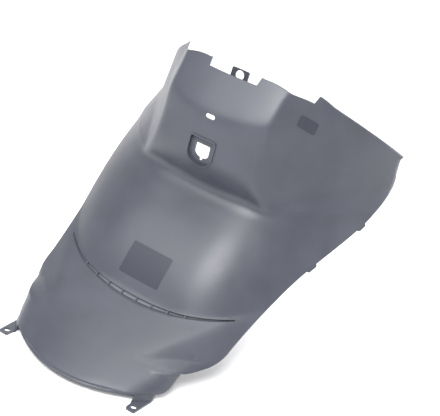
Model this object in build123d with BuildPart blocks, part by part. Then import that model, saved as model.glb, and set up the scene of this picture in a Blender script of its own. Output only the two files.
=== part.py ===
"""Inner leg shield of a motor scooter: one moulded panel, drawn in the frame it is fitted in.

X runs across the scooter, +Z is up and the rider sits on the -Y side. The origin is midway between the two
floor screws, on the top of their lugs. All sizes are in millimetres.
"""

import os
from math import atan2, degrees, sqrt

from build123d import *

os.makedirs("parts", exist_ok=True)

# Wall and draw: the mould opens along Y, so every edge and opening is cut along Y.
WALL = 2.6
DRAW_OUT = (0, -1, 0)
DRAW_SPARE = 25.0
CENTRE_ROUND = 6.0

# Hood and column face, down the middle: the hood slopes back above the brow, the face falls away below it.
BROW_Z = 310.0
BROW_Y = 191.5
HOOD_SLOPE = 0.56
HOOD_CROWN = 0.0042
FACE_FALL = 0.00002
BROW_ROUND = 8.0

# Wings: swept back from the column face, bending more towards their outer edge.
WING_Y = 68.4
WING_SWEEP = 1.09
WING_LEAN = 0.262
WING_BOW = 0.0065
WING_BOW_X = 100.0
WING_ROUND_TOP = 7.0
WING_ROUND_LOW = 30.0
WING_ROUND_SPAN = 70.0

# Knee bulge: comes out from under the column face at the ridge and rolls down to the vent.
RIDGE_Z = 204.6
RIDGE_Y = 216.0
KNEE_SLOPE = 1.19
KNEE_FALL = 0.0029
KNEE_CROWN = 0.0069
KNEE_FLAT = 52.0
KNEE_SIDE_ROUND = 30.0
KNEE_FADE = 0.00136
KNEE_FADE_UP = 60.0
KNEE_FADE_DOWN = 140.0
RIDGE_ROUND = 9.0

# Foot: flares out from the vent and rolls down to the floor, with a scooped shoulder on each side.
FOOT_Z = 66.6
FOOT_Y = 99.0
FOOT_SLOPE = 2.33
FOOT_CROWN_TOP = 0.0005
FOOT_CROWN_LOW = 0.0036
FOOT_CROWN_Z = 54.6
FOOT_CROWN_SPAN = 52.0
TOE_BEND = 0.014
TOE_BEND_X = 80.0
TOE_ROLL_Z = 9.0
TOE_ROLL_ROUND = 9.0
LEDGE_Z = 47.8
LEDGE_FALL = 0.12
LEDGE_SLOPE = 4.0
LEDGE_ROUND = 12.0
LEDGE_LIFT = 5.0
TOE_SIDE = 0.06
TOE_SIDE_X = 119.0
SHOULDER_Y = -76.6
SHOULDER_X = 0.99
SHOULDER_Z = 1.102
SHOULDER_ROUND = 14.0
FOOT_ROUND = 6.0

# Outline, seen from the front (x, z).
TOP_Z = 358.8
NOTCH_X = 36.4
NOTCH_RISE = 10.5
NOTCH_FLARE = 1.5
BROW_EDGE_X = 74.0
BROW_EDGE_Z = 361.0
STEP_X = 101.0
STEP_Z = 350.0
STEP_RISE = 10.0
STEP_FLARE = 2.0
TIP_X = 196.5
TIP_Z = 286.5
TIP_CROWN = 6.0
NIB_DEPTH = 1.8
NIB_HEIGHT = 4.0
FLANK_X = 198.6
FLANK_Z = 243.0
HIP_X = 199.2
HIP_Z = 220.0
CHEEK_X = 194.8
CHEEK_Z = 197.0
THIGH_X = 171.0
THIGH_Z = 141.0
SHIN_X = 155.5
SHIN_Z = 92.0
HEEL_X = 148.0
HEEL_Z = 52.0
HEEL_ROUND_X = 138.5
HEEL_ROUND_Z = 34.5
ARCH_X = 122.0
ARCH_Z = 33.0
TOE_OUT = 8.0
TOE_Z = 15.0
SOLE_Z = 7.5

# Flange under the floor edge, set back from the skin, between the two lugs.
LIP_STEP = 0.9
LIP_DROP = 3.0
LIP_LAP = 3.0
LIP_WALL = 1.8
LIP_POINTS = 9

# Cable slot under the brow.
SLOT_Z = 306.0
SLOT_LENGTH = 14.0
SLOT_WIDTH = 6.0

# Ignition opening: a shield-shaped hole in the floor of a sunk D.
KEY_Z = 254.0
DISH_WIDTH = 37.0
DISH_TOP = 21.5
DISH_SINK = 5.0
DISH_PROUD = 0.8
DISH_RIM = 1.6
DISH_ROUND = 3.0
KEY_WIDTH = 21.5
KEY_TOP = 11.0
KEY_POINT = 10.0
KEY_ROUND = 2.0
NICK_WIDTH = 4.0
NICK_DEPTH = 3.5

# Vent between knee and foot: a curved gap bridged by ribs that sit below the skin.
VENT_Z = 68.0
VENT_END_X = 134.0
VENT_END_Z = 83.0
VENT_GAP = 4.4
VENT_TAPER = 1.6
VENT_RIBS = 8
VENT_PITCH = 23.0
VENT_RIB_WALL = 2.6
VENT_RIB_SINK = 1.2
VENT_RIB_DEPTH = 5.0
VENT_RIB_LAP = 3.0

# Locating tongues on each side edge.
TONGUE_LENGTH = 18.0
TONGUE_PROUD = 4.0
TONGUE_SINK = 0.8
TONGUE_WALL = 1.6
TONGUE_PLACES = (0.13, 0.366, 0.58)

# Floor lugs.
LUG_SPACING = 203.0
LUG_WIDTH = 16.0
LUG_END_WIDTH = 13.0
LUG_WALL = 3.0
LUG_HOLE = 8.0
LUG_FRONT = 8.5
LUG_ROUND = 2.0
LUG_SOLE = 1.0

# Bracket behind the top edge.
TAB_WIDTH = 26.0
TAB_WALL = 2.6
TAB_BEHIND = 30.0
TAB_HEIGHT = 24.0
TAB_ABOVE = 5.7
TAB_HOLE = 13.0
TAB_HOLE_DROP = 8.0
TAB_ROUND = 1.5

# Profiles the skin is lofted through, and the even steps in height that each of them is drawn in.
NET_X = 214.0
NET_COLUMNS = 29
NET_LOW = -14.0
NET_TOP = 384.0
NET_STEPS = 58


def soft_max(a: float, b: float, rounding: float) -> float:
    """The larger of two, with the corner between them rounded."""
    return 0.5 * (a + b + sqrt((a - b) ** 2 + rounding**2))


def soft_min(a: float, b: float, rounding: float) -> float:
    """The smaller of two, with the corner between them rounded."""
    return 0.5 * (a + b - sqrt((a - b) ** 2 + rounding**2))


def ease(t: float) -> float:
    """A smooth step from 0 to 1."""
    t = min(max(t, 0.0), 1.0)
    return t * t * (3.0 - 2.0 * t)


def foot_y(wide: float, z: float) -> float:
    """Where the top of the foot lies along Y."""
    low = ease((FOOT_CROWN_Z - z) / FOOT_CROWN_SPAN)
    crown = FOOT_CROWN_TOP + (FOOT_CROWN_LOW - FOOT_CROWN_TOP) * low
    corner = TOE_BEND * low * max(wide - TOE_BEND_X, 0.0) ** 2
    return FOOT_Y - FOOT_SLOPE * (FOOT_Z - soft_max(z, TOE_ROLL_Z, TOE_ROLL_ROUND)) + crown * wide**2 + corner


def skin_y(x: float, z: float) -> float:
    """Where the outer face lies along Y, seen from the front at x, z."""
    wide = sqrt(x**2 + CENTRE_ROUND**2)
    hood = BROW_Y + HOOD_SLOPE * (z - BROW_Z) + HOOD_CROWN * x**2
    face = BROW_Y + FACE_FALL * (BROW_Z - z) ** 3
    column = soft_max(hood, face, BROW_ROUND)
    wing = WING_Y + WING_SWEEP * wide + WING_LEAN * z + WING_BOW * max(wide - WING_BOW_X, 0.0) ** 2
    below = ease((BROW_Z - z) / WING_ROUND_SPAN)
    upper = soft_max(column, wing, WING_ROUND_TOP + (WING_ROUND_LOW - WING_ROUND_TOP) * below)

    drop = RIDGE_Z - z
    crown = KNEE_CROWN * (1.0 - KNEE_FADE * min(max(drop, -KNEE_FADE_UP), KNEE_FADE_DOWN))
    side = soft_max(wide - KNEE_FLAT, 0.0, KNEE_SIDE_ROUND)
    knee = RIDGE_Y - KNEE_SLOPE * drop + KNEE_FALL * max(drop, 0.0) ** 2 + crown * side**2

    ledge_z = LEDGE_Z - LEDGE_FALL * wide
    shoulder = SHOULDER_Y + SHOULDER_X * wide + SHOULDER_Z * z
    scoop = soft_max(foot_y(wide, z), shoulder, SHOULDER_ROUND)
    ledge = foot_y(wide, min(z, ledge_z)) + LEDGE_LIFT + LEDGE_SLOPE * max(z - ledge_z, 0.0)
    ledge += TOE_SIDE * max(wide - TOE_SIDE_X, 0.0) ** 2
    foot = soft_min(scoop, ledge, LEDGE_ROUND)
    return soft_min(soft_min(upper, knee, RIDGE_ROUND), foot, FOOT_ROUND)


def set_back(x: float, z: float, inset: float) -> float:
    """Where the skin lies along Y once it is set back by the inset, measured square to it."""
    step = 2 * WALL
    along_x = (skin_y(x + step, z) - skin_y(x - step, z)) / (2.0 * step)
    along_z = (skin_y(x, z + step) - skin_y(x, z - step)) / (2.0 * step)
    return skin_y(x, z) + inset * sqrt(1.0 + along_x**2 + along_z**2)


def skin() -> Part:
    """The moulded wall over its whole net, lofted across from profile to profile."""
    heights = [NET_LOW + (NET_TOP - NET_LOW) * i / NET_STEPS for i in range(NET_STEPS + 1)]
    with BuildPart() as shell:
        for i in range(NET_COLUMNS):
            x = -NET_X + 2.0 * NET_X * i / (NET_COLUMNS - 1)
            outer = [Vector(skin_y(x, z), z) for z in heights]
            inner = [Vector(set_back(x, z, WALL), z) for z in heights]
            with BuildSketch(Plane.YZ.offset(x)):
                with BuildLine():
                    add(Edge.make_spline(outer, parameters=heights))
                    add(Edge.make_spline(inner, parameters=heights))
                    Line(outer[0], inner[0])
                    Line(outer[-1], inner[-1])
                make_face()
        loft()
    return shell.part


def on_skin(x: float, z: float) -> Plane:
    """A plane lying on the skin at x, z, facing out, with its first axis level."""
    step = 4.0
    along_x = (skin_y(x + step, z) - skin_y(x - step, z)) / (2.0 * step)
    along_z = (skin_y(x, z + step) - skin_y(x, z - step)) / (2.0 * step)
    return Plane(origin=(x, skin_y(x, z), z), x_dir=(1, along_x, 0), z_dir=(along_x, -1, along_z))


def vent_z(x: float) -> float:
    """Height of the vent's middle line at x: a circle through its middle and its two ends."""
    rise = VENT_END_Z - VENT_Z
    radius = (VENT_END_X**2 + rise**2) / (2.0 * rise)
    return VENT_Z + radius - sqrt(radius**2 - x**2)


BACK_Y = skin_y(TIP_X, TIP_Z) + DRAW_SPARE
FRONT_Y = skin_y(0, SOLE_Z) - DRAW_SPARE
FRONT = Plane.XZ.offset(-BACK_Y)
LUG_X = LUG_SPACING / 2
SOLE_X = LUG_X + LUG_WIDTH / 2 + LUG_SOLE
TOE_X = SOLE_X + TOE_OUT
MIDWAY = sqrt(0.5)

with BuildSketch(FRONT) as sheet:
    with BuildLine():
        Polyline((0, TOP_Z), (NOTCH_X, TOP_Z), (NOTCH_X + NOTCH_FLARE, TOP_Z + NOTCH_RISE))
        ThreePointArc((NOTCH_X + NOTCH_FLARE, TOP_Z + NOTCH_RISE), (BROW_EDGE_X, BROW_EDGE_Z), (STEP_X, STEP_Z))
        step_top = Line((STEP_X, STEP_Z), (STEP_X + STEP_FLARE, STEP_Z + STEP_RISE)) @ 1
        wing_mid = (step_top + Vector(TIP_X, TIP_Z)) / 2 + Vector(0, TIP_CROWN)
        ThreePointArc(step_top, wing_mid, (TIP_X, TIP_Z))
        nib = Line((TIP_X, TIP_Z), (TIP_X - NIB_DEPTH, TIP_Z - NIB_HEIGHT)) @ 1
        flank = Spline(
            nib,
            (FLANK_X, FLANK_Z),
            (HIP_X, HIP_Z),
            (CHEEK_X, CHEEK_Z),
            (THIGH_X, THIGH_Z),
            (SHIN_X, SHIN_Z),
            (HEEL_X, HEEL_Z),
        )
        ThreePointArc((HEEL_X, HEEL_Z), (HEEL_ROUND_X, HEEL_ROUND_Z), (ARCH_X, ARCH_Z))
        Line((ARCH_X, ARCH_Z), (TOE_X, TOE_Z))
        toe_round = (SOLE_X + MIDWAY * TOE_OUT, TOE_Z - MIDWAY * (TOE_Z - SOLE_Z))
        ThreePointArc((TOE_X, TOE_Z), toe_round, (SOLE_X, SOLE_Z))
        Polyline(
            (SOLE_X, SOLE_Z),
            (LUG_X + LUG_WIDTH / 2, SOLE_Z),
            (LUG_X + LUG_WIDTH / 2, -LUG_WALL),
            (LUG_X - LUG_WIDTH / 2, -LUG_WALL),
            (LUG_X - LUG_WIDTH / 2, SOLE_Z),
            (0, SOLE_Z),
            (0, TOP_Z),
        )
    make_face()
    mirror(about=Plane.YZ)
    with Locations((0, SLOT_Z)):
        SlotOverall(SLOT_LENGTH, SLOT_WIDTH, mode=Mode.SUBTRACT)
    with BuildLine():
        upper_edge = ThreePointArc(
            (-VENT_END_X, VENT_END_Z + VENT_TAPER / 2),
            (0, VENT_Z + VENT_GAP / 2),
            (VENT_END_X, VENT_END_Z + VENT_TAPER / 2),
        )
        lower_edge = ThreePointArc(
            (-VENT_END_X, VENT_END_Z - VENT_TAPER / 2),
            (0, VENT_Z - VENT_GAP / 2),
            (VENT_END_X, VENT_END_Z - VENT_TAPER / 2),
        )
        Line(upper_edge @ 0, lower_edge @ 0)
        Line(upper_edge @ 1, lower_edge @ 1)
    make_face(mode=Mode.SUBTRACT)

DISH = on_skin(0, KEY_Z)

with BuildSketch(DISH) as dish:
    with BuildLine():
        Polyline((0, DISH_TOP), (DISH_WIDTH / 2, DISH_TOP), (DISH_WIDTH / 2, 0))
        ThreePointArc((DISH_WIDTH / 2, 0), (DISH_WIDTH / sqrt(8), -DISH_WIDTH / sqrt(8)), (0, -DISH_WIDTH / 2))
        Line((0, -DISH_WIDTH / 2), (0, DISH_TOP))
    make_face()
    mirror(about=Plane.YZ)
    fillet(dish.vertices().group_by(Axis.Y)[-1], radius=DISH_ROUND)

with BuildSketch(DISH) as key_hole:
    with BuildLine():
        Polyline((0, KEY_TOP), (KEY_WIDTH / 2, KEY_TOP), (KEY_WIDTH / 2, 0))
        Spline((KEY_WIDTH / 2, 0), (0, -KEY_POINT), tangents=((0, -1), (-1, -0.25)))
        Line((0, -KEY_POINT), (0, KEY_TOP))
    make_face()
    mirror(about=Plane.YZ)
    fillet(key_hole.vertices().group_by(Axis.Y)[-1], radius=KEY_ROUND)
    with Locations((0, -KEY_POINT)):
        Rectangle(NICK_WIDTH, 2 * NICK_DEPTH)

TAB_TOP = TOP_Z + TAB_ABOVE
TAB_SHELF_Z = TAB_TOP - TAB_HEIGHT
TAB_SHELF_Y = set_back(0, TAB_SHELF_Z + TAB_WALL, WALL / 2)
TAB_Y = TAB_SHELF_Y + TAB_BEHIND

with BuildPart() as tab:
    with BuildSketch(Plane.YZ):
        with BuildLine():
            Polyline(
                (TAB_SHELF_Y, TAB_SHELF_Z),
                (TAB_Y + TAB_WALL, TAB_SHELF_Z),
                (TAB_Y + TAB_WALL, TAB_TOP),
                (TAB_Y, TAB_TOP),
                (TAB_Y, TAB_SHELF_Z + TAB_WALL),
                (TAB_SHELF_Y, TAB_SHELF_Z + TAB_WALL),
                close=True,
            )
        make_face()
    extrude(amount=TAB_WIDTH / 2, both=True)
    with Locations(Plane(origin=(0, TAB_Y, TAB_TOP - TAB_HOLE_DROP), x_dir=(1, 0, 0), z_dir=(0, -1, 0))):
        Hole(TAB_HOLE / 2, depth=2 * TAB_WALL)
    fillet(tab.edges().filter_by(Axis.Y).group_by(Axis.Z)[-1], radius=TAB_ROUND)

LUG_BACK = skin_y(LUG_X + LUG_WIDTH / 2, 0) + WALL / 2

with BuildPart() as lug:
    with BuildSketch(Plane.XY) as lug_plan:
        with BuildLine():
            Polyline(
                (-LUG_WIDTH / 2, LUG_BACK),
                (LUG_WIDTH / 2, LUG_BACK),
                (LUG_END_WIDTH / 2, -LUG_FRONT),
                (-LUG_END_WIDTH / 2, -LUG_FRONT),
                close=True,
            )
        make_face()
        fillet(lug_plan.vertices().group_by(Axis.Y)[0], radius=LUG_ROUND)
        Circle(LUG_HOLE / 2, mode=Mode.SUBTRACT)
    extrude(amount=-LUG_WALL)

LIP_X = LUG_X - LUG_WIDTH / 2

with BuildPart() as lip:
    with BuildSketch(Plane.XY.offset(SOLE_Z - LIP_DROP)):
        with BuildLine():
            across = [LIP_X * (2 * i / (LIP_POINTS - 1) - 1) for i in range(LIP_POINTS)]
            front = Spline(*[(x, set_back(x, SOLE_Z, LIP_STEP)) for x in across])
            back = Spline(*[(x, set_back(x, SOLE_Z, LIP_STEP + LIP_WALL)) for x in across])
            Line(front @ 0, back @ 0)
            Line(front @ 1, back @ 1)
        make_face()
    extrude(amount=LIP_DROP + LIP_LAP)

with BuildPart() as leg_shield:
    extrude(sheet.sketch, amount=BACK_Y - FRONT_Y, dir=DRAW_OUT)
    add(skin(), mode=Mode.INTERSECT)

    with BuildSketch(DISH.offset(DISH_PROUD)):
        offset(dish.sketch_local, amount=DISH_RIM)
    extrude(amount=-(DISH_PROUD + DISH_SINK + WALL))
    with BuildSketch(DISH.offset(DISH_PROUD)):
        add(dish.sketch_local)
    extrude(amount=-(DISH_PROUD + DISH_SINK), mode=Mode.SUBTRACT)
    extrude(key_hole.sketch, amount=DISH_SINK + 2 * WALL, dir=-DISH.z_dir, mode=Mode.SUBTRACT)

    for i in range(VENT_RIBS):
        x = VENT_PITCH * (i - (VENT_RIBS - 1) / 2)
        reach = VENT_GAP / 2 + VENT_RIB_LAP
        heights = (vent_z(x) - reach, vent_z(x), vent_z(x) + reach)
        with BuildSketch(Plane.YZ.offset(x)):
            with BuildLine():
                front = [(set_back(x, z, VENT_RIB_SINK), z) for z in heights]
                back = [(set_back(x, z, VENT_RIB_SINK + VENT_RIB_DEPTH), z) for z in heights]
                Polyline(*front, *reversed(back), close=True)
            make_face()
        extrude(amount=VENT_RIB_WALL / 2, both=True)

    for place in TONGUE_PLACES:
        edge = flank @ place
        ahead = edge + (flank % place) * TONGUE_LENGTH / 2
        for side in (1, -1):
            seat = on_skin(side * edge.X, edge.Y)
            along = seat.to_local_coords(on_skin(side * ahead.X, ahead.Y).origin)
            with BuildSketch(seat.offset(-TONGUE_SINK)):
                SlotOverall(TONGUE_LENGTH, 2 * TONGUE_PROUD, rotation=degrees(atan2(along.Y, along.X)))
            extrude(amount=-TONGUE_WALL)

    add(lip.part)
    add(tab.part)
    with GridLocations(LUG_SPACING, 0, 2, 1):
        add(lug.part)

leg_shield.part.label = "leg_shield"
export_step(leg_shield.part, "parts/leg_shield.step")
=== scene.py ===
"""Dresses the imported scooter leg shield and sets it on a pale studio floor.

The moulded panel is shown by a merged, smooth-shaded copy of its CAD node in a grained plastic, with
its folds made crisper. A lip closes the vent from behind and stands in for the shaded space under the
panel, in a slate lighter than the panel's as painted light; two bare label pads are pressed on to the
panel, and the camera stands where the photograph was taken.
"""

import logging
import math
from dataclasses import dataclass, field
from enum import Enum

import bpy
from mathutils import Matrix, Vector


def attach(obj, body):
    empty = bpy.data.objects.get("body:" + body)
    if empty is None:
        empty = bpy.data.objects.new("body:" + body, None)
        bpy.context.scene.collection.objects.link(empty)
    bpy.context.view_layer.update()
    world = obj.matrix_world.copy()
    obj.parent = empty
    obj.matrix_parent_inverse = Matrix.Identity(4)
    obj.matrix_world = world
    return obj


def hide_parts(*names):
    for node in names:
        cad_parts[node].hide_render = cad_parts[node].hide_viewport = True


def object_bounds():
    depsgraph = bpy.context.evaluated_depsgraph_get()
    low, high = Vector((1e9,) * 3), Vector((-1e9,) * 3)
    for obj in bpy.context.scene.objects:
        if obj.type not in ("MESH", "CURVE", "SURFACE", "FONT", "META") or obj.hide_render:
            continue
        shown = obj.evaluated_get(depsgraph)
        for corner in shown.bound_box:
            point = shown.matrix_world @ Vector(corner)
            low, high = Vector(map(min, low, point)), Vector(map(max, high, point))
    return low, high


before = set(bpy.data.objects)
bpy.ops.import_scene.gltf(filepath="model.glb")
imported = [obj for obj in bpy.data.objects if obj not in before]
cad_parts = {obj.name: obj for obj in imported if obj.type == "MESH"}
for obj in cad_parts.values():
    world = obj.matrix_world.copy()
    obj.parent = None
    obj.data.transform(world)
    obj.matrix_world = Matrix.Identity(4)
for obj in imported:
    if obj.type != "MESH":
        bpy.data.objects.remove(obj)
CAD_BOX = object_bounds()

LOG = logging.getLogger("leg_shield")
PANEL_NODE = "leg_shield"
BODY = "root"
MM = 0.001
SMOOTH_UP_TO = math.radians(40.0)

Colour = tuple[float, float, float]
Point = tuple[float, float, float]

# Where the forms of the panel lie, in millimetres: x from the middle, y back, z over the floor lugs.
CENTRE_ROUND = 6.0
BROW_Y = 191.5
BROW_Z = 310.0
FACE_CROWN_Z = 215.0
FACE_CROWN_SPAN = 80.0
FOLD_SPAN = 70.0
FOLD_OUT_X = 72.0
FOLD_OUT_Z = 314.0
FOLD_OUT_WIDTH = 24.0
FOLD_OUT_HEIGHT = 30.0
EAR_X = 106.0
EAR_Z = 362.0
EAR_WIDTH = 18.0
EAR_HEIGHT = 26.0
RIDGE_Y = 216.0
RIDGE_Z = 204.6
CREST_DROP = 14.0
CREST_REACH = 20.0
KNEE_SLOPE = 1.19
KNEE_FALL = 0.0029
KNEE_CROWN = 0.0069
KNEE_FADE = 0.00136
KNEE_FADE_UP = 60.0
KNEE_FADE_DOWN = 140.0
KNEE_FLAT = 52.0
KNEE_SIDE_ROUND = 30.0
FOOT_Y = 99.0
FOOT_Z = 66.6
FOOT_SLOPE = 2.33
FOOT_CROWN_TOP = 0.0005
FOOT_CROWN_MORE = 0.0031
FOOT_CROWN_Z = 54.6
FOOT_CROWN_SPAN = 52.0
TOE_Y = -35.2
TOE_ROUND = 20.97
TOE_BEND = 0.014
TOE_BEND_X = 80.0
TOE_SIDE = 0.06
TOE_SIDE_X = 119.0
TOE_FORWARD_Z = 60.0
TOE_FORWARD_SPAN = 25.0
LEDGE_Z = 47.8
LEDGE_FALL = 0.12
LEDGE_LIFT = 5.0
LEDGE_SLOPE = 4.0
SHOULDER_Y = -76.6
SHOULDER_X = 0.99
SHOULDER_Z = 1.102
VENT_ROUND = 6.0


class Corner(Enum):
    """The way in which two faces of the panel meet, and the side of both that is kept."""

    HOLLOW = 1.0
    RIDGE = -1.0

    def meet(self, one: float, other: float, rounding: float) -> float:
        """Joins two faces with a rounded corner.

        Args:
            one: Where the first face lies.
            other: Where the second face lies.
            rounding: How round the corner between them is.

        Returns:
            Where the joined face lies.
        """
        return 0.5 * (one + other + self.value * math.hypot(one - other, rounding))


def ease(share: float) -> float:
    """A smooth step from 0 to 1."""
    share = min(max(share, 0.0), 1.0)
    return share * share * (3.0 - 2.0 * share)


def blend(start: float, end: float, share: float) -> float:
    """Goes smoothly from one value to another as the share goes from 0 to 1."""
    return start + (end - start) * ease(share)


def swell(along: float, up: float) -> float:
    """A smooth swelling of height 1 about the origin."""
    return math.exp(-(along**2) - up**2)


@dataclass(frozen=True)
class UpperForm:
    """The outer face of the panel over the vent: where it lies along Y at x, z, in millimetres.

    Attributes:
        hood_slope: How far the hood goes back for each millimetre up from the brow.
        hood_crown: Bend of the hood across the panel.
        brow_round: Roundness of the brow.
        face_from: Height under which the column face falls back.
        face_fall: How fast it falls back.
        face_power: Power of that fall.
        crown_top: Bend of the column face across the panel, at the brow.
        crown_low: The same bend at the ridge.
        wing_back: Where the wings' plane meets the origin.
        wing_sweep: How far the wings go back for each millimetre out.
        wing_lean: How far they go back for each millimetre up.
        wing_bow: Bend of the wings near their outer edge.
        wing_bow_from: Distance from the middle at which that bend starts.
        fold_top: Roundness of the fold between face and wing, at the brow.
        fold_low: The same roundness, lower down.
        fold_forward: How far the fold stands out beside the brow.
        ear_back: How far the wing's upper corner is turned back.
        crest: How fast the top of the knee bulge flattens towards the ridge, or steepens below 0.
        ridge_round: Roundness of the ridge between knee and column face.
    """

    hood_slope: float
    hood_crown: float
    brow_round: float
    face_from: float
    face_fall: float
    face_power: float
    crown_top: float
    crown_low: float
    wing_back: float
    wing_sweep: float
    wing_lean: float
    wing_bow: float
    wing_bow_from: float
    fold_top: float
    fold_low: float
    fold_forward: float = 0.0
    ear_back: float = 0.0
    crest: float = 0.0
    ridge_round: float = 9.0

    def lies_at(self, x: float, z: float) -> float:
        """Finds the face at one place.

        Args:
            x: Distance from the middle of the panel.
            z: Height over the floor lugs.

        Returns:
            Where the face lies along Y.
        """
        wide = math.hypot(x, CENTRE_ROUND)
        crown = blend(self.crown_low, self.crown_top, (z - FACE_CROWN_Z) / FACE_CROWN_SPAN)
        fall = self.face_fall * max(self.face_from - z, 0.0) ** self.face_power
        hood = BROW_Y + self.hood_slope * (z - BROW_Z) + self.hood_crown * x**2
        column = Corner.HOLLOW.meet(hood, BROW_Y + fall + crown * x**2, self.brow_round)
        wing = self.wing_back + self.wing_sweep * wide + self.wing_lean * z
        wing += self.wing_bow * max(wide - self.wing_bow_from, 0.0) ** 2
        wing += self.ear_back * swell((wide - EAR_X) / EAR_WIDTH, (z - EAR_Z) / EAR_HEIGHT)
        wing -= self.fold_forward * swell(
            (wide - FOLD_OUT_X) / FOLD_OUT_WIDTH, (z - FOLD_OUT_Z) / FOLD_OUT_HEIGHT
        )
        fold = blend(self.fold_top, self.fold_low, (BROW_Z - z) / FOLD_SPAN)
        over_knee = Corner.HOLLOW.meet(column, wing, fold)
        return Corner.RIDGE.meet(over_knee, self.knee_at(wide, z), self.ridge_round)

    def knee_at(self, wide: float, z: float) -> float:
        """Finds the knee bulge under the ridge.

        Args:
            wide: Distance from the middle of the panel.
            z: Height over the floor lugs.

        Returns:
            Where the bulge lies along Y.
        """
        drop = RIDGE_Z - z
        crown = KNEE_CROWN * (1.0 - KNEE_FADE * min(max(drop, -KNEE_FADE_UP), KNEE_FADE_DOWN))
        side = Corner.HOLLOW.meet(wide - KNEE_FLAT, 0.0, KNEE_SIDE_ROUND)
        flattened = self.crest * min(max(CREST_DROP - drop, 0.0), CREST_REACH) ** 2
        middle = RIDGE_Y - KNEE_SLOPE * drop + KNEE_FALL * max(drop, 0.0) ** 2
        return middle + crown * side**2 + flattened


MOULDED = UpperForm(
    hood_slope=0.56, hood_crown=0.0042, brow_round=8.0,
    face_from=310.0, face_fall=0.00002, face_power=3.0, crown_top=0.0, crown_low=0.0,
    wing_back=68.4, wing_sweep=1.09, wing_lean=0.262, wing_bow=0.0065, wing_bow_from=100.0,
    fold_top=7.0, fold_low=30.0,
)
CRISP = UpperForm(
    hood_slope=0.60, hood_crown=0.0016, brow_round=5.0,
    face_from=260.0, face_fall=0.0085, face_power=2.0, crown_top=0.0028, crown_low=0.0012,
    wing_back=16.0, wing_sweep=1.585, wing_lean=0.2496, wing_bow=0.0058, wing_bow_from=140.0,
    fold_top=6.0, fold_low=9.0, fold_forward=9.0, ear_back=7.0, crest=-0.022, ridge_round=8.0,
)


@dataclass(frozen=True)
class FootForm:
    """The outer face of the foot under the vent: where it lies along Y at x, z, in millimetres.

    Attributes:
        shoulder_round: Roundness between the top and the scooped shoulder.
        ledge_round: Roundness of the crease between toe and shoulder.
        toe_forward: How far the toe is set forward.
    """

    shoulder_round: float
    ledge_round: float
    toe_forward: float = 0.0

    @staticmethod
    def top_at(wide: float, z: float) -> float:
        """Finds the top and the front of the foot.

        Args:
            wide: Distance from the middle of the panel.
            z: Height over the floor lugs.

        Returns:
            Where the face lies along Y.
        """
        low = ease((FOOT_CROWN_Z - z) / FOOT_CROWN_SPAN)
        crown = (FOOT_CROWN_TOP + FOOT_CROWN_MORE * low) * wide**2
        corner = TOE_BEND * low * max(wide - TOE_BEND_X, 0.0) ** 2
        return Corner.HOLLOW.meet(FOOT_Y - FOOT_SLOPE * (FOOT_Z - z), TOE_Y, TOE_ROUND) + crown + corner

    def lies_at(self, x: float, z: float) -> float:
        """Finds the foot with its scooped shoulders.

        Args:
            x: Distance from the middle of the panel.
            z: Height over the floor lugs.

        Returns:
            Where the face lies along Y.
        """
        wide = math.hypot(x, CENTRE_ROUND)
        ledge_z = LEDGE_Z - LEDGE_FALL * wide
        shoulder = SHOULDER_Y + SHOULDER_X * wide + SHOULDER_Z * z
        scoop = Corner.HOLLOW.meet(self.top_at(wide, z), shoulder, self.shoulder_round)
        ledge = self.top_at(wide, min(z, ledge_z)) + LEDGE_LIFT + LEDGE_SLOPE * max(z - ledge_z, 0.0)
        ledge += TOE_SIDE * max(wide - TOE_SIDE_X, 0.0) ** 2
        forward = self.toe_forward * ease((TOE_FORWARD_Z - z) / TOE_FORWARD_SPAN)
        return Corner.RIDGE.meet(scoop, ledge, self.ledge_round) - forward


MOULDED_FOOT = FootForm(shoulder_round=14.0, ledge_round=12.0)
CRISP_FOOT = FootForm(shoulder_round=9.0, ledge_round=4.0, toe_forward=3.3)


def face_at(upper: UpperForm, foot: FootForm, x: float, z: float) -> float:
    """Finds the panel's whole outer face at one place.

    Args:
        upper: The form over the vent.
        foot: The form under it.
        x: Distance from the middle of the panel, in metres.
        z: Height over the floor lugs, in metres.

    Returns:
        Where the face lies along Y, in metres.
    """
    place = (x / MM, z / MM)
    return Corner.RIDGE.meet(upper.lies_at(*place), foot.lies_at(*place), VENT_ROUND) * MM


def deselect_all() -> None:
    """Leaves edit mode and clears the selection."""
    if bpy.context.object and bpy.context.object.mode != "OBJECT":
        bpy.ops.object.mode_set(mode="OBJECT")
    bpy.ops.object.select_all(action="DESELECT")


def make_active(piece: bpy.types.Object) -> None:
    """Selects one object alone and makes it active."""
    deselect_all()
    piece.select_set(True)
    bpy.context.view_layer.objects.active = piece


def apply_modifiers(piece: bpy.types.Object) -> None:
    """Applies every modifier of the piece, in order."""
    make_active(piece)
    for name in [modifier.name for modifier in piece.modifiers]:
        bpy.ops.object.modifier_apply(modifier=name)


def wear(piece: bpy.types.Object, material: bpy.types.Material) -> None:
    """Makes the material the piece's only one."""
    piece.data.materials.clear()
    piece.data.materials.append(material)


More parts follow.
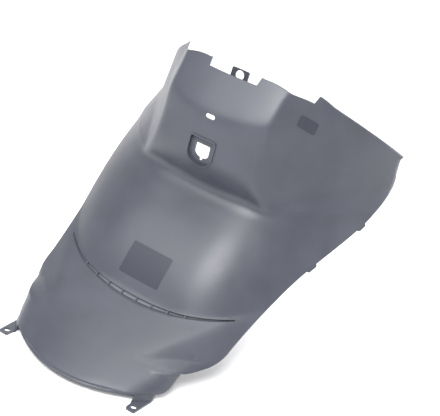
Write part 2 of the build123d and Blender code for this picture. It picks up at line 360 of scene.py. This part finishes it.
@dataclass(frozen=True)
class GrainedPlastic:
    """A moulded plastic: its tint, its gloss and the grain of its tool.

    Attributes:
        name: The material's name.
        tint: Linear colour of the plastic.
        mottle: Share by which the tint drifts over the panel.
        mottle_size: Width of a drift of tint, in metres.
        roughness: Mean roughness.
        roughness_drift: How far the roughness drifts to either side.
        grain_size: Width of a pip of the grain, in metres.
        grain_depth: Depth of the grain, in metres.
        grain_strength: Share of the grain that the light shows.
        specular: Specular level of the shader.
        drift_range: Stretch of the noise over which tint and roughness drift.
        drift_detail: How finely the noise is broken up.
    """

    name: str
    tint: Colour
    mottle: float = 0.10
    mottle_size: float = 0.05
    roughness: float = 0.46
    roughness_drift: float = 0.05
    grain_size: float = 0.0011
    grain_depth: float = 0.00012
    grain_strength: float = 0.35
    specular: float = 0.5
    drift_range: tuple[float, float] = (0.3, 0.7)
    drift_detail: float = 4.0

    def build(self) -> bpy.types.Material:
        """Makes the material.

        Returns:
            A node material on Object coordinates.
        """
        material = bpy.data.materials.new(self.name)
        material.use_nodes = True
        nodes, links = material.node_tree.nodes, material.node_tree.links
        shader = nodes["Principled BSDF"]
        shader.inputs["Specular IOR Level"].default_value = self.specular
        place = nodes.new("ShaderNodeTexCoord")

        drift = nodes.new("ShaderNodeTexNoise")
        drift.inputs["Scale"].default_value = 1.0 / self.mottle_size
        drift.inputs["Detail"].default_value = self.drift_detail
        links.new(place.outputs["Object"], drift.inputs["Vector"])

        tints = nodes.new("ShaderNodeValToRGB")
        shares = (1.0 - self.mottle, 1.0 + self.mottle)
        for stop, share, position in zip(tints.color_ramp.elements, shares, self.drift_range):
            stop.color = (*[channel * share for channel in self.tint], 1.0)
            stop.position = position
        links.new(drift.outputs["Fac"], tints.inputs["Fac"])
        links.new(tints.outputs["Color"], shader.inputs["Base Color"])

        gloss = nodes.new("ShaderNodeMapRange")
        gloss.inputs["From Min"].default_value = self.drift_range[0]
        gloss.inputs["From Max"].default_value = self.drift_range[1]
        gloss.inputs["To Min"].default_value = self.roughness - self.roughness_drift
        gloss.inputs["To Max"].default_value = self.roughness + self.roughness_drift
        links.new(drift.outputs["Fac"], gloss.inputs["Value"])
        links.new(gloss.outputs["Result"], shader.inputs["Roughness"])

        pips = nodes.new("ShaderNodeTexVoronoi")
        pips.feature = "SMOOTH_F1"
        pips.inputs["Scale"].default_value = 1.0 / self.grain_size
        links.new(place.outputs["Object"], pips.inputs["Vector"])
        bump = nodes.new("ShaderNodeBump")
        bump.inputs["Strength"].default_value = self.grain_strength
        bump.inputs["Distance"].default_value = self.grain_depth
        links.new(pips.outputs["Distance"], bump.inputs["Height"])
        links.new(bump.outputs["Normal"], shader.inputs["Normal"])
        return material


SLATE_GRAIN = GrainedPlastic(
    name="slate_grained_plastic",
    tint=(0.041, 0.044, 0.057),
    roughness=0.42,
    specular=0.4,
)
# Painted light: the lip is the panel's own slate plastic, tinted over twice as light so that the band in
# the vent reads as lit.
SLATE_LIP_PAINTED_LIGHT = GrainedPlastic(
    name="slate_lip_painted_light",
    tint=(0.100, 0.105, 0.122),
    roughness=0.5,
    specular=0.3,
)
SLATE_SMOOTH = GrainedPlastic(
    name="slate_smooth_plastic",
    tint=(0.024, 0.027, 0.038),
    mottle=0.05,
    roughness=0.46,
    specular=0.3,
    roughness_drift=0.03,
    grain_size=0.004,
    grain_depth=0.00003,
    grain_strength=0.15,
)


@dataclass
class Panel:
    """The moulded panel, shown by a merged and smoothed copy of its CAD node.

    Attributes:
        finish: The plastic it is moulded in.
        merge_gap: Distance under which the copy's loose corners are merged, in metres.
        crease: Angle in degrees past which an edge stays sharp.
        crisp_from: Height over which the copy's folds are made crisper, in metres.
        edge_limit: Longest edge left in that stretch, in metres.
        edge_passes: How often longer edges are halved.
        face_reach: Distance within which a corner counts as lying on the outer face, in metres.
        edge_lift: How far the top edge is raised over the folds, in metres.
        edge_lift_x: Distance from the middle at which it is raised most, in metres.
        edge_lift_half: Half the width of that stretch, in metres.
        edge_lift_from: Height from which the lift builds up, in metres.
        edge_lift_span: Height over which it builds up, in metres.
    """

    finish: GrainedPlastic
    merge_gap: float = 0.00001
    crease: float = 32.0
    crisp_from: float = 0.009
    edge_limit: float = 0.005
    edge_passes: int = 6
    face_reach: float = 0.0006
    edge_lift: float = 0.0038
    edge_lift_x: float = 0.080
    edge_lift_half: float = 0.038
    edge_lift_from: float = 0.315
    edge_lift_span: float = 0.030
    skin: bpy.types.Object = field(init=False)

    def build(self) -> None:
        """Copies the CAD node, merges its triangles, folds it crisply and smooths its shading."""
        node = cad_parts[PANEL_NODE]
        self.skin = bpy.data.objects.new("panel_skin", node.data.copy())
        bpy.context.collection.objects.link(self.skin)
        self.skin.data.transform(node.matrix_world)
        make_active(self.skin)
        bpy.ops.object.mode_set(mode="EDIT")
        bpy.ops.mesh.select_all(action="SELECT")
        bpy.ops.mesh.remove_doubles(threshold=self.merge_gap)
        bpy.ops.mesh.customdata_custom_splitnormals_clear()
        bpy.ops.object.mode_set(mode="OBJECT")
        for _ in range(self.edge_passes):
            self.halve_long_edges()
        self.fold_crisply()
        make_active(self.skin)
        bpy.ops.object.shade_smooth_by_angle(angle=math.radians(self.crease))

    def halve_long_edges(self) -> None:
        """Cuts the panel's long edges in two, so that it can take crisp folds."""
        mesh = self.skin.data
        make_active(self.skin)
        bpy.ops.object.mode_set(mode="EDIT")
        bpy.ops.mesh.select_mode(type="EDGE")
        bpy.ops.mesh.select_all(action="DESELECT")
        bpy.ops.object.mode_set(mode="OBJECT")
        for edge in mesh.edges:
            start, end = (mesh.vertices[index].co for index in edge.vertices)
            edge.select = max(start.z, end.z) > self.crisp_from and (end - start).length > self.edge_limit
        bpy.ops.object.mode_set(mode="EDIT")
        bpy.ops.mesh.subdivide(number_cuts=1)
        bpy.ops.mesh.select_all(action="SELECT")
        bpy.ops.mesh.quads_convert_to_tris()
        bpy.ops.object.mode_set(mode="OBJECT")

    def fold_crisply(self) -> None:
        """Moves the panel along Y from the moulded form's face to the crisper one's."""
        for vertex in self.skin.data.vertices:
            x, y, z = vertex.co
            if z > self.crisp_from:
                moulded = face_at(MOULDED, MOULDED_FOOT, x, z)
                on_face = abs(y - moulded) < self.face_reach
                lifted = z + self.lift_at(x, z)
                crisp = face_at(CRISP, CRISP_FOOT, x, lifted)
                vertex.co = (x, crisp if on_face else y + crisp - moulded, lifted)

    def lift_at(self, x: float, z: float) -> float:
        """Finds how far the top edge is raised at one place.

        Args:
            x: Distance from the middle of the panel, in metres.
            z: Height over the floor lugs, in metres.

        Returns:
            The lift, in metres.
        """
        off = (abs(x) - self.edge_lift_x) / self.edge_lift_half
        built_up = ease((z - self.edge_lift_from) / self.edge_lift_span)
        return self.edge_lift * max(1.0 - off**2, 0.0) * built_up

    def dress(self) -> None:
        """Gives the copy its plastic and lets it stand for the CAD node."""
        wear(self.skin, self.finish.build())
        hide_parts(PANEL_NODE)
        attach(self.skin, BODY)


@dataclass
class LabelPad:
    """A bare, smooth pad on the panel, where a label would go.

    Attributes:
        name: The piece's name.
        corners: Four corners as (x, z) on the panel's front, in order round the pad, in metres.
        finish: The smooth plastic of the pad.
        cuts: Subdivisions of the pad, so that it follows the panel.
        reach: Distance in front of the panel from which the pad is pressed on, in metres.
        proud: How far the pad stands off the panel, in metres.
        wall: The pad's thickness, in metres.
        corner_round: Radius of the pad's corners, in metres.
        corner_cuts: Segments of a corner.
        merge_gap: Distance under which the pad's corners are merged, in metres.
    """

    name: str
    corners: tuple[tuple[float, float], ...]
    finish: GrainedPlastic
    cuts: int = 14
    reach: float = 0.06
    proud: float = 0.0003
    wall: float = 0.0006
    corner_round: float = 0.002
    corner_cuts: int = 4
    merge_gap: float = 0.000001
    pad: bpy.types.Object = field(init=False)

    def build(self, panel: Panel) -> None:
        """Presses a subdivided plane on to the panel from the rider's side.

        Args:
            panel: The panel that carries the pad.
        """
        deselect_all()
        bpy.ops.mesh.primitive_plane_add(size=1.0)
        self.pad = bpy.context.object
        self.pad.name = self.name
        for vertex, (x, z) in zip(self.in_order(), self.corners):
            vertex.co = (x, CAD_BOX[0].y - self.reach, z)
        bpy.ops.object.mode_set(mode="EDIT")
        bpy.ops.mesh.select_all(action="SELECT")
        bpy.ops.mesh.bevel(offset=self.corner_round, segments=self.corner_cuts, affect="VERTICES")
        bpy.ops.mesh.select_all(action="SELECT")
        bpy.ops.mesh.poke()
        bpy.ops.mesh.subdivide(number_cuts=self.cuts)
        bpy.ops.object.mode_set(mode="OBJECT")
        press = self.pad.modifiers.new("press", "SHRINKWRAP")
        press.wrap_method = "PROJECT"
        press.use_project_y = True
        press.use_positive_direction = True
        press.use_negative_direction = False
        press.offset = self.proud
        press.target = panel.skin
        thickness = self.pad.modifiers.new("wall", "SOLIDIFY")
        thickness.thickness = self.wall
        apply_modifiers(self.pad)
        self.face_outwards()

    def in_order(self) -> list[bpy.types.MeshVertex]:
        """Returns the plane's corners in order round its face."""
        mesh = self.pad.data
        return [mesh.vertices[index] for index in mesh.polygons[0].vertices]

    def face_outwards(self) -> None:
        """Turns the pad's faces outwards and smooths them."""
        make_active(self.pad)
        bpy.ops.object.mode_set(mode="EDIT")
        bpy.ops.mesh.select_all(action="SELECT")
        bpy.ops.mesh.remove_doubles(threshold=self.merge_gap)
        bpy.ops.mesh.normals_make_consistent(inside=False)
        bpy.ops.object.mode_set(mode="OBJECT")
        bpy.ops.object.shade_smooth_by_angle(angle=SMOOTH_UP_TO)

    def dress(self) -> None:
        """Gives the pad its smooth plastic and fixes it to the panel."""
        wear(self.pad, self.finish.build())
        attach(self.pad, BODY)


@dataclass
class VentLipShadeSheet:
    """The turned-in lip behind the vent, through which nothing of the back is seen; it stands in for the
    painted shade of the space under the panel, and its lighter tint is painted light.

    Attributes:
        finish: The plastic it is moulded in, a slate lighter than the panel's as painted light.
        name: The piece's name.
        half_length: Half the lip's length along X, in metres.
        radius: Radius of the vent's arc, seen from the front, in metres.
        middle: Where the skin lies at the middle of the vent, as (y, z) in metres.
        bend: How the skin goes back from there with the square of x, per metre.
        flare: The same with the fourth power of x.
        behind: How far behind the skin the lip stands, in metres.
        height: How far it reaches over and under the vent's middle line, in metres.
        rake: How far its upper edge lies behind its lower one, in metres.
        cuts: Subdivisions along the lip.
        wall: Its thickness, in metres.
    """

    finish: GrainedPlastic
    name: str = "vent_lip_shade_sheet"
    half_length: float = 0.136
    radius: float = 0.606
    middle: tuple[float, float] = (0.1015, 0.068)
    bend: float = 1.696
    flare: float = 61.55
    behind: float = 0.0062
    height: float = 0.0060
    rake: float = 0.0160
    cuts: int = 47
    wall: float = 0.0016
    lip: bpy.types.Object = field(init=False)

    def build(self) -> None:
        """Bends a subdivided plane along the vent and gives it its wall."""
        deselect_all()
        bpy.ops.mesh.primitive_plane_add(size=2.0)
        self.lip = bpy.context.object
        self.lip.name = self.name
        bpy.ops.object.mode_set(mode="EDIT")
        bpy.ops.mesh.select_all(action="SELECT")
        bpy.ops.mesh.subdivide(number_cuts=self.cuts)
        bpy.ops.object.mode_set(mode="OBJECT")
        for vertex in self.lip.data.vertices:
            vertex.co = self.place(vertex.co.x, vertex.co.y)
        thickness = self.lip.modifiers.new("wall", "SOLIDIFY")
        thickness.thickness = self.wall
        apply_modifiers(self.lip)
        bpy.ops.object.shade_smooth_by_angle(angle=SMOOTH_UP_TO)

    def place(self, along: float, up: float) -> Vector:
        """Finds a point of the lip.

        Args:
            along: Share of the half length, from -1 to 1.
            up: Share of the height, from -1 to 1.

        Returns:
            The point, in metres.
        """
        x = along * self.half_length
        arc = self.radius - math.sqrt(self.radius**2 - x**2)
        y = self.middle[0] + self.bend * x**2 + self.flare * x**4 + self.behind + up * self.rake / 2
        return Vector((x, y, self.middle[1] + arc + up * self.height))

    def dress(self) -> None:
        """Gives the lip its lighter plastic, a painted light, and fixes it to the panel."""
        wear(self.lip, self.finish.build())
        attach(self.lip, BODY)


@dataclass(frozen=True)
class SoftLight:
    """A soft box of the studio.

    Attributes:
        name: The light's name.
        place: Where it hangs, in metres.
        aim: The point it is turned to, in metres.
        size: Width of the round box, in metres.
        power: Power in watts.
        tint: Colour of the light.
    """

    name: str
    place: Point
    aim: Point
    size: float
    power: float
    tint: Colour = (1.0, 1.0, 1.0)

    def build(self) -> bpy.types.Object:
        """Hangs the light.

        Returns:
            The light's object.
        """
        bpy.ops.object.light_add(type="AREA", location=self.place)
        lamp = bpy.context.object
        lamp.name = self.name
        lamp.data.shape = "DISK"
        lamp.data.size = self.size
        lamp.data.energy = self.power
        lamp.data.color = self.tint
        way = Vector(self.aim) - Vector(self.place)
        lamp.rotation_euler = way.to_track_quat("-Z", "Y").to_euler()
        return lamp


@dataclass
class Studio:
    """The pale floor, the soft light and the camera.

    Attributes:
        floor_side: Side of the floor, in metres.
        floor_tint: Linear colour of the floor.
        floor_roughness: Roughness of the floor.
        floor_specular: Specular level of the floor.
        sky: Strength of the light from all round.
        sky_tint: Colour of the light from all round.
        lights: The soft boxes.
        azimuth: Camera's turn to the right of the rider's side, in degrees.
        elevation: Camera's height above the horizon, in degrees.
        roll: How far the camera is turned so that the panel leans right, in degrees.
        target: The point the camera looks at, in metres.
        distance: Distance of the camera from that point, in metres.
        lens: Focal length in millimetres on a sensor of the given width.
        sensor: Width of the sensor, in millimetres.
    """

    lights: tuple[SoftLight, ...]
    floor_side: float = 40.0
    floor_tint: Colour = (0.93, 0.93, 0.94)
    floor_roughness: float = 0.9
    floor_specular: float = 0.1
    sky: float = 0.76
    sky_tint: Colour = (1.0, 1.0, 1.0)
    azimuth: float = 24.3
    elevation: float = 23.3
    roll: float = 16.4
    target: Point = (0.0, 0.303, 0.1446)
    distance: float = 1.4375
    lens: float = 81.8
    sensor: float = 36.0

    def build_floor(self) -> None:
        """Lays the floor under the panel's lowest point."""
        deselect_all()
        bpy.ops.mesh.primitive_plane_add(size=self.floor_side, location=(0.0, 0.0, CAD_BOX[0].z))
        floor = bpy.context.object
        floor.name = "studio_floor"
        material = bpy.data.materials.new("pale_floor")
        material.use_nodes = True
        shader = material.node_tree.nodes["Principled BSDF"]
        shader.inputs["Base Color"].default_value = (*self.floor_tint, 1.0)
        shader.inputs["Roughness"].default_value = self.floor_roughness
        shader.inputs["Specular IOR Level"].default_value = self.floor_specular
        wear(floor, material)

    def build_light(self) -> None:
        """Lights the scene from all round and hangs the soft boxes."""
        world = bpy.data.worlds.new("studio_sky")
        world.use_nodes = True
        background = world.node_tree.nodes["Background"]
        background.inputs["Color"].default_value = (*self.sky_tint, 1.0)
        background.inputs["Strength"].default_value = self.sky
        bpy.context.scene.world = world
        bpy.context.scene.view_settings.view_transform = "Standard"
        for light in self.lights:
            light.build()

    def build_camera(self) -> None:
        """Sets the camera up where the photograph was taken."""
        azimuth, elevation, roll = (math.radians(a) for a in (self.azimuth, self.elevation, self.roll))
        back = Vector((
            math.sin(azimuth) * math.cos(elevation),
            -math.cos(azimuth) * math.cos(elevation),
            math.sin(elevation),
        ))
        level = Vector((math.cos(azimuth), math.sin(azimuth), 0.0))
        upright = back.cross(level)
        right = level * math.cos(roll) + upright * math.sin(roll)
        up = upright * math.cos(roll) - level * math.sin(roll)
        turn = Matrix((right, up, back)).transposed().to_4x4()
        bpy.ops.object.camera_add()
        camera = bpy.context.object
        camera.name = "photo_camera"
        camera.data.sensor_width = self.sensor
        camera.data.lens = self.lens
        camera.data.clip_end = 2.0 * self.floor_side
        camera.matrix_world = Matrix.Translation(Vector(self.target) + back * self.distance) @ turn
        bpy.context.scene.camera = camera


LIGHTS = (
    SoftLight("key_box", place=(0.42, -1.25, 1.72), aim=(0.0, 0.2, 0.15), size=1.0, power=66.0),
    SoftLight("fill_box", place=(-0.9, -1.4, 1.7), aim=(0.0, 0.2, 0.2), size=0.8, power=17.0),
    SoftLight("top_box", place=(-0.1, 0.3, 2.2), aim=(0.0, 0.2, 0.0), size=1.4, power=34.0),
    SoftLight("left_rim", place=(-1.5, 1.5, 0.55), aim=(0.0, 0.3, 0.2), size=1.0, power=7.0),
    SoftLight("right_rim", place=(1.3, 1.9, 0.45), aim=(0.1, 0.35, 0.22), size=1.0, power=28.0),
    SoftLight("floor_box", place=(-1.0, 4.4, 2.2), aim=(-1.0, 4.4, 0.0), size=1.6, power=20.0),
)

PADS = (
    LabelPad(
        name="lower_label_pad",
        corners=((-0.031, 0.087), (0.031, 0.087), (0.031, 0.125), (-0.031, 0.125)),
        finish=SLATE_SMOOTH,
    ),
    LabelPad(
        name="wing_label_pad",
        corners=((0.0958, 0.3241), (0.1133, 0.3119), (0.1138, 0.3278), (0.0958, 0.3386)),
        finish=SLATE_SMOOTH,
    ),
)


def report(piece: bpy.types.Object) -> None:
    """Logs a finished piece with its count of faces."""
    LOG.info("%s: %d faces", piece.name, len(piece.data.polygons))


def main() -> None:
    """Builds and dresses the panel, its lip and its pads, then sets up the studio."""
    logging.basicConfig(level=logging.INFO, format="%(name)s %(message)s")
    panel = Panel(finish=SLATE_GRAIN)
    panel.build()
    panel.dress()
    report(panel.skin)
    # The lip stands in for the shaded space under the panel, in a lighter slate that paints the light
    # falling into the gap.
    lip = VentLipShadeSheet(finish=SLATE_LIP_PAINTED_LIGHT)
    lip.build()
    lip.dress()
    report(lip.lip)
    for pad in PADS:
        pad.build(panel)
        pad.dress()
        report(pad.pad)
    studio = Studio(lights=LIGHTS)
    studio.build_floor()
    studio.build_light()
    studio.build_camera()


if __name__ == "__main__":
    main()
